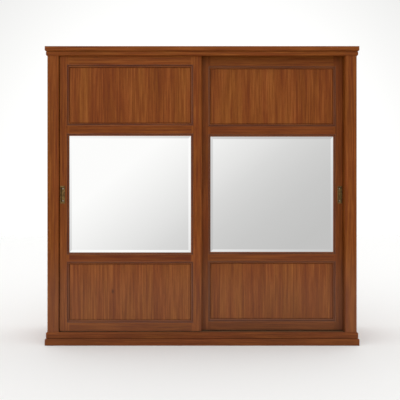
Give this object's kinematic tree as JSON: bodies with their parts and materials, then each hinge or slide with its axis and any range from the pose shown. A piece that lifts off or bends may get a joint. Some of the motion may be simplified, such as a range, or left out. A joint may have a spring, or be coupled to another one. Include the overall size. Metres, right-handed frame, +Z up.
{
  "type": "armoire",
  "caption": "Sliding-door armoire in red-brown stained wood, with bevelled mirrors between framed panels, a stepped cornice and plinth, hanging rails and hat shelves inside.",
  "frame": {"origin": "on the floor, under the middle of the armoire", "axes": "+X to the right seen from the front, the doors face -Y, +Z up"},
  "size_m": [2.3, 0.66, 2.19],
  "materials": {
    "frame_wood": "red-brown stained, satin lacquer",
    "panel_wood": "red-brown stained veneer, satin lacquer",
    "carcass_wood": "red-brown stained veneer, satin lacquer",
    "back_board": "thin stained board, matt",
    "mirror_glass": "silvered glass with polished bevel",
    "antique_brass": "antiqued, brushed",
    "zinc_steel": "zinc plated",
    "screw_steel": "bronzed",
    "bronze_aluminium": "bronze anodised",
    "chromed_steel": "chrome plated",
    "nylon": "moulded",
    "stop_rubber": "moulded"
  },
  "bodies": {
    "cabinet": {"back_joint_strip": "back_board", "back_panels": "back_board", "bottom_panel": "carcass_wood", "bottom_track": "bronze_aluminium", "cabinet_screws": "screw_steel", "centre_partition": "carcass_wood", "cornice_front_moulding": "frame_wood", "cornice_left_moulding": "frame_wood", "cornice_rail": "frame_wood", "cornice_right_moulding": "frame_wood", "door_stops": "stop_rubber", "guide_track": "bronze_aluminium", "hanging_rail_sockets": "chromed_steel", "hanging_rails": "chromed_steel", "hat_shelves": "carcass_wood", "left_face_stile": "frame_wood", "left_side_panel": "carcass_wood", "plinth_bearers": "carcass_wood", "plinth_front_moulding": "frame_wood", "plinth_front_rail": "frame_wood", "plinth_left_moulding": "frame_wood", "plinth_right_moulding": "frame_wood", "right_face_stile": "frame_wood", "right_side_panel": "carcass_wood", "shelf_pins": "chromed_steel", "top_panel": "carcass_wood"},
    "left_door": {"left_door_axles": "zinc_steel", "left_door_bottom_rail": "frame_wood", "left_door_carriages": "zinc_steel", "left_door_guide_shoes": "nylon", "left_door_inner_stile": "frame_wood", "left_door_lower_panel": "panel_wood", "left_door_middle_rails": "frame_wood", "left_door_mirror": "mirror_glass", "left_door_mirror_backing": "back_board", "left_door_outer_stile": "frame_wood", "left_door_panel_mouldings": "frame_wood", "left_door_pull": "antique_brass", "left_door_screws": "screw_steel", "left_door_top_rail": "frame_wood", "left_door_upper_panel": "panel_wood"},
    "right_door": {"right_door_axles": "zinc_steel", "right_door_bottom_rail": "frame_wood", "right_door_carriages": "zinc_steel", "right_door_guide_shoes": "nylon", "right_door_inner_stile": "frame_wood", "right_door_lower_panel": "panel_wood", "right_door_middle_rails": "frame_wood", "right_door_mirror": "mirror_glass", "right_door_mirror_backing": "back_board", "right_door_outer_stile": "frame_wood", "right_door_panel_mouldings": "frame_wood", "right_door_pull": "antique_brass", "right_door_screws": "screw_steel", "right_door_top_rail": "frame_wood", "right_door_upper_panel": "panel_wood"},
    "left_door_left_wheel": {"left_door_left_wheel": "nylon"},
    "left_door_right_wheel": {"left_door_right_wheel": "nylon"},
    "right_door_left_wheel": {"right_door_left_wheel": "nylon"},
    "right_door_right_wheel": {"right_door_right_wheel": "nylon"}
  },
  "joints": [
    {"name": "left_door_slide", "type": "slide", "parent": "cabinet", "child": "left_door", "axis": [1, 0, 0], "range_m": [0, 1.05]},
    {"name": "right_door_slide", "type": "slide", "parent": "cabinet", "child": "right_door", "axis": [1, 0, 0], "range_m": [-1.03, 0]},
    {"name": "left_door_left_wheel_spin", "type": "hinge", "parent": "left_door", "child": "left_door_left_wheel", "pos_m": [-0.8595, -0.284, 0.1113], "axis": [0, 1, 0], "continuous": true},
    {"name": "left_door_right_wheel_spin", "type": "hinge", "parent": "left_door", "child": "left_door_right_wheel", "pos_m": [-0.191, -0.284, 0.1113], "axis": [0, 1, 0], "continuous": true},
    {"name": "right_door_left_wheel_spin", "type": "hinge", "parent": "right_door", "child": "right_door_left_wheel", "pos_m": [0.172, -0.239, 0.1113], "axis": [0, 1, 0], "continuous": true},
    {"name": "right_door_right_wheel_spin", "type": "hinge", "parent": "right_door", "child": "right_door_right_wheel", "pos_m": [0.8595, -0.239, 0.1113], "axis": [0, 1, 0], "continuous": true}
  ],
  "couplings": [
    {"joint": "left_door_left_wheel_spin", "follows": "left_door_slide", "rad_per_m": 76.923},
    {"joint": "left_door_right_wheel_spin", "follows": "left_door_slide", "rad_per_m": 76.923},
    {"joint": "right_door_left_wheel_spin", "follows": "right_door_slide", "rad_per_m": 76.923},
    {"joint": "right_door_right_wheel_spin", "follows": "right_door_slide", "rad_per_m": 76.923}
  ]
}
